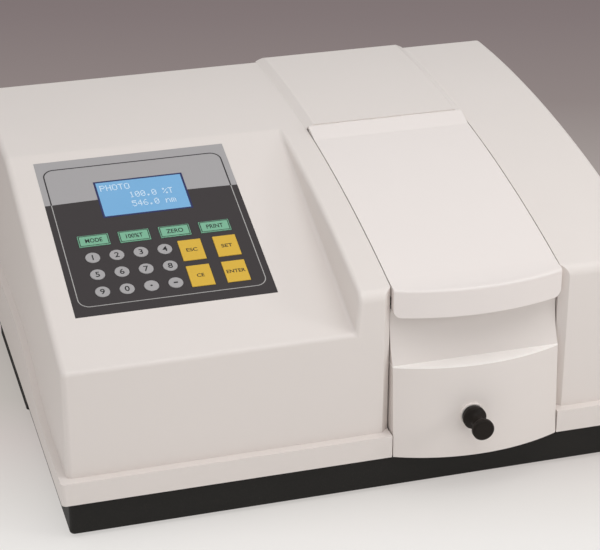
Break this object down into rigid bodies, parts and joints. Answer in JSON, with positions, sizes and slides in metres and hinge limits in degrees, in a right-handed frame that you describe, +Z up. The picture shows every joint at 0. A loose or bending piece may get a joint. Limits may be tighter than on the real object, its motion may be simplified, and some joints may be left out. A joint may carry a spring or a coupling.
{
  "type": "uv-vis spectrophotometer",
  "caption": "Benchtop spectrophotometer with a sloping keypad and display, a hinged lid over the sample compartment and a pull rod for the cell carriage.",
  "frame": {"origin": "on the bench top under the middle of the instrument's bounding box, knob included", "axes": "+X to the sample compartment's side as seen from the front, +Y to the back, +Z up"},
  "size_m": [0.47, 0.43, 0.2161],
  "materials": {
    "cover_plastic": "semi-gloss, fine moulded texture",
    "lid_plastic": "semi-gloss, fine moulded texture",
    "base_paint": "satin black powder coat",
    "foot_rubber": "matt",
    "black_plastic": "satin black",
    "bright_steel": "turned",
    "keypad_film": "matt film, light grey over charcoal",
    "display_glass": "lit liquid-crystal display",
    "board_green": "solder-masked board",
    "key_silver": "matt",
    "key_green": "matt",
    "key_yellow": "matt",
    "chamber_black": "matt black",
    "holder_black": "black anodised",
    "quartz": "polished",
    "stopper_white": "matt",
    "gasket_rubber": "soft foam",
    "bench_alloy": "cast, machined faces",
    "optics_black": "matt black",
    "mirror_face": "front-coated",
    "lamp_sheet": "plain sheet",
    "lamp_glass": "clear",
    "motor_steel": "black with bright shaft",
    "supply_sheet": "plain sheet",
    "port_steel": "plated shell"
  },
  "bodies": {
    "housing": {"top_cover": "cover_plastic", "front_panel": "cover_plastic", "hinge_pin": "bright_steel", "base_tray": "base_paint", "feet": "foot_rubber", "case_screws": "bright_steel", "keypad_overlay": "keypad_film", "lcd_window": "display_glass", "lcd_module": "board_green", "keypad_board": "board_green", "sample_chamber": "chamber_black", "port_lenses": "quartz", "chamber_gasket": "gasket_rubber", "rod_bush": "black_plastic", "optical_bench": "bench_alloy", "monochromator_case": "optics_black", "grating_motor": "motor_steel", "mirrors": "mirror_face", "slit_plates": "optics_black", "lamp_case": "lamp_sheet", "deuterium_lamp": "lamp_glass", "tungsten_lamp": "lamp_glass", "detector": "optics_black", "main_board": "board_green", "power_supply": "supply_sheet", "fan_frame": "black_plastic", "power_inlet": "black_plastic", "data_ports": "port_steel"},
    "lid": {"lid": "lid_plastic"},
    "carriage": {"pull_rod": "bright_steel", "pull_knob": "black_plastic", "cell_holder": "holder_black", "cuvettes": "quartz", "cuvette_stoppers": "stopper_white"},
    "fan_rotor": {"fan_rotor": "black_plastic"},
    "rocker": {"rocker": "black_plastic"},
    "grating_turret": {"grating_table": "bench_alloy", "grating": "mirror_face"},
    "filter_wheel": {"filter_wheel": "optics_black"},
    "lamp_mirror": {"lamp_mirror": "mirror_face"},
    "key_1": {"key_1": "key_silver"},
    "key_2": {"key_2": "key_silver"},
    "key_3": {"key_3": "key_silver"},
    "key_4": {"key_4": "key_silver"},
    "key_5": {"key_5": "key_silver"},
    "key_6": {"key_6": "key_silver"},
    "key_7": {"key_7": "key_silver"},
    "key_8": {"key_8": "key_silver"},
    "key_9": {"key_9": "key_silver"},
    "key_0": {"key_0": "key_silver"},
    "key_point": {"key_point": "key_silver"},
    "key_minus": {"key_minus": "key_silver"},
    "key_green_1": {"key_green_1": "key_green"},
    "key_green_2": {"key_green_2": "key_green"},
    "key_green_3": {"key_green_3": "key_green"},
    "key_green_4": {"key_green_4": "key_green"},
    "key_yellow_1": {"key_yellow_1": "key_yellow"},
    "key_yellow_2": {"key_yellow_2": "key_yellow"},
    "key_yellow_3": {"key_yellow_3": "key_yellow"},
    "key_yellow_4": {"key_yellow_4": "key_yellow"}
  },
  "joints": [
    {"name": "lid_hinge", "type": "hinge", "parent": "housing", "child": "lid", "pos_m": [0.086, 0.0546, 0.21077], "axis": [-1, 0, 0], "range_deg": [0, 95]},
    {"name": "carriage_slide", "type": "slide", "parent": "housing", "child": "carriage", "axis": [0, -1, 0], "range_m": [0, 0.054]},
    {"name": "fan_spin", "type": "hinge", "parent": "housing", "child": "fan_rotor", "pos_m": [0.072, 0.1992, 0.088], "axis": [0, 1, 0], "continuous": true},
    {"name": "rocker_tilt", "type": "hinge", "parent": "housing", "child": "rocker", "pos_m": [0.162, 0.2072, 0.098], "axis": [-1, 0, 0], "range_deg": [0, 16]},
    {"name": "grating_turn", "type": "hinge", "parent": "housing", "child": "grating_turret", "pos_m": [-0.11, 0.012, 0.05], "axis": [0, 0, 1], "range_deg": [-35, 35]},
    {"name": "filter_turn", "type": "hinge", "parent": "housing", "child": "filter_wheel", "pos_m": [-0.054, 0.107, 0.075], "axis": [0, 1, 0], "continuous": true},
    {"name": "lamp_select", "type": "hinge", "parent": "housing", "child": "lamp_mirror", "pos_m": [-0.04, 0.144, 0.052], "axis": [0, 0, 1], "range_deg": [0, 90]},
    {"name": "key_1_press", "type": "slide", "parent": "housing", "child": "key_1", "axis": [0, 0.2907, -0.9568], "range_m": [0, 0.0006], "stiffness_N_per_m": 400, "springref_m": -0.0005},
    {"name": "key_2_press", "type": "slide", "parent": "housing", "child": "key_2", "axis": [0, 0.2907, -0.9568], "range_m": [0, 0.0006], "stiffness_N_per_m": 400, "springref_m": -0.0005},
    {"name": "key_3_press", "type": "slide", "parent": "housing", "child": "key_3", "axis": [0, 0.2907, -0.9568], "range_m": [0, 0.0006], "stiffness_N_per_m": 400, "springref_m": -0.0005},
    {"name": "key_4_press", "type": "slide", "parent": "housing", "child": "key_4", "axis": [0, 0.2907, -0.9568], "range_m": [0, 0.0006], "stiffness_N_per_m": 400, "springref_m": -0.0005},
    {"name": "key_5_press", "type": "slide", "parent": "housing", "child": "key_5", "axis": [0, 0.2907, -0.9568], "range_m": [0, 0.0006], "stiffness_N_per_m": 400, "springref_m": -0.0005},
    {"name": "key_6_press", "type": "slide", "parent": "housing", "child": "key_6", "axis": [0, 0.2907, -0.9568], "range_m": [0, 0.0006], "stiffness_N_per_m": 400, "springref_m": -0.0005},
    {"name": "key_7_press", "type": "slide", "parent": "housing", "child": "key_7", "axis": [0, 0.2907, -0.9568], "range_m": [0, 0.0006], "stiffness_N_per_m": 400, "springref_m": -0.0005},
    {"name": "key_8_press", "type": "slide", "parent": "housing", "child": "key_8", "axis": [0, 0.2907, -0.9568], "range_m": [0, 0.0006], "stiffness_N_per_m": 400, "springref_m": -0.0005},
    {"name": "key_9_press", "type": "slide", "parent": "housing", "child": "key_9", "axis": [0, 0.2907, -0.9568], "range_m": [0, 0.0006], "stiffness_N_per_m": 400, "springref_m": -0.0005},
    {"name": "key_0_press", "type": "slide", "parent": "housing", "child": "key_0", "axis": [0, 0.2907, -0.9568], "range_m": [0, 0.0006], "stiffness_N_per_m": 400, "springref_m": -0.0005},
    {"name": "key_point_press", "type": "slide", "parent": "housing", "child": "key_point", "axis": [0, 0.2907, -0.9568], "range_m": [0, 0.0006], "stiffness_N_per_m": 400, "springref_m": -0.0005},
    {"name": "key_minus_press", "type": "slide", "parent": "housing", "child": "key_minus", "axis": [0, 0.2907, -0.9568], "range_m": [0, 0.0006], "stiffness_N_per_m": 400, "springref_m": -0.0005},
    {"name": "key_green_1_press", "type": "slide", "parent": "housing", "child": "key_green_1", "axis": [0, 0.2907, -0.9568], "range_m": [0, 0.0006], "stiffness_N_per_m": 400, "springref_m": -0.0005},
    {"name": "key_green_2_press", "type": "slide", "parent": "housing", "child": "key_green_2", "axis": [0, 0.2907, -0.9568], "range_m": [0, 0.0006], "stiffness_N_per_m": 400, "springref_m": -0.0005},
    {"name": "key_green_3_press", "type": "slide", "parent": "housing", "child": "key_green_3", "axis": [0, 0.2907, -0.9568], "range_m": [0, 0.0006], "stiffness_N_per_m": 400, "springref_m": -0.0005},
    {"name": "key_green_4_press", "type": "slide", "parent": "housing", "child": "key_green_4", "axis": [0, 0.2907, -0.9568], "range_m": [0, 0.0006], "stiffness_N_per_m": 400, "springref_m": -0.0005},
    {"name": "key_yellow_1_press", "type": "slide", "parent": "housing", "child": "key_yellow_1", "axis": [0, 0.2907, -0.9568], "range_m": [0, 0.0006], "stiffness_N_per_m": 400, "springref_m": -0.0005},
    {"name": "key_yellow_2_press", "type": "slide", "parent": "housing", "child": "key_yellow_2", "axis": [0, 0.2907, -0.9568], "range_m": [0, 0.0006], "stiffness_N_per_m": 400, "springref_m": -0.0005},
    {"name": "key_yellow_3_press", "type": "slide", "parent": "housing", "child": "key_yellow_3", "axis": [0, 0.2907, -0.9568], "range_m": [0, 0.0006], "stiffness_N_per_m": 400, "springref_m": -0.0005},
    {"name": "key_yellow_4_press", "type": "slide", "parent": "housing", "child": "key_yellow_4", "axis": [0, 0.2907, -0.9568], "range_m": [0, 0.0006], "stiffness_N_per_m": 400, "springref_m": -0.0005}
  ]
}
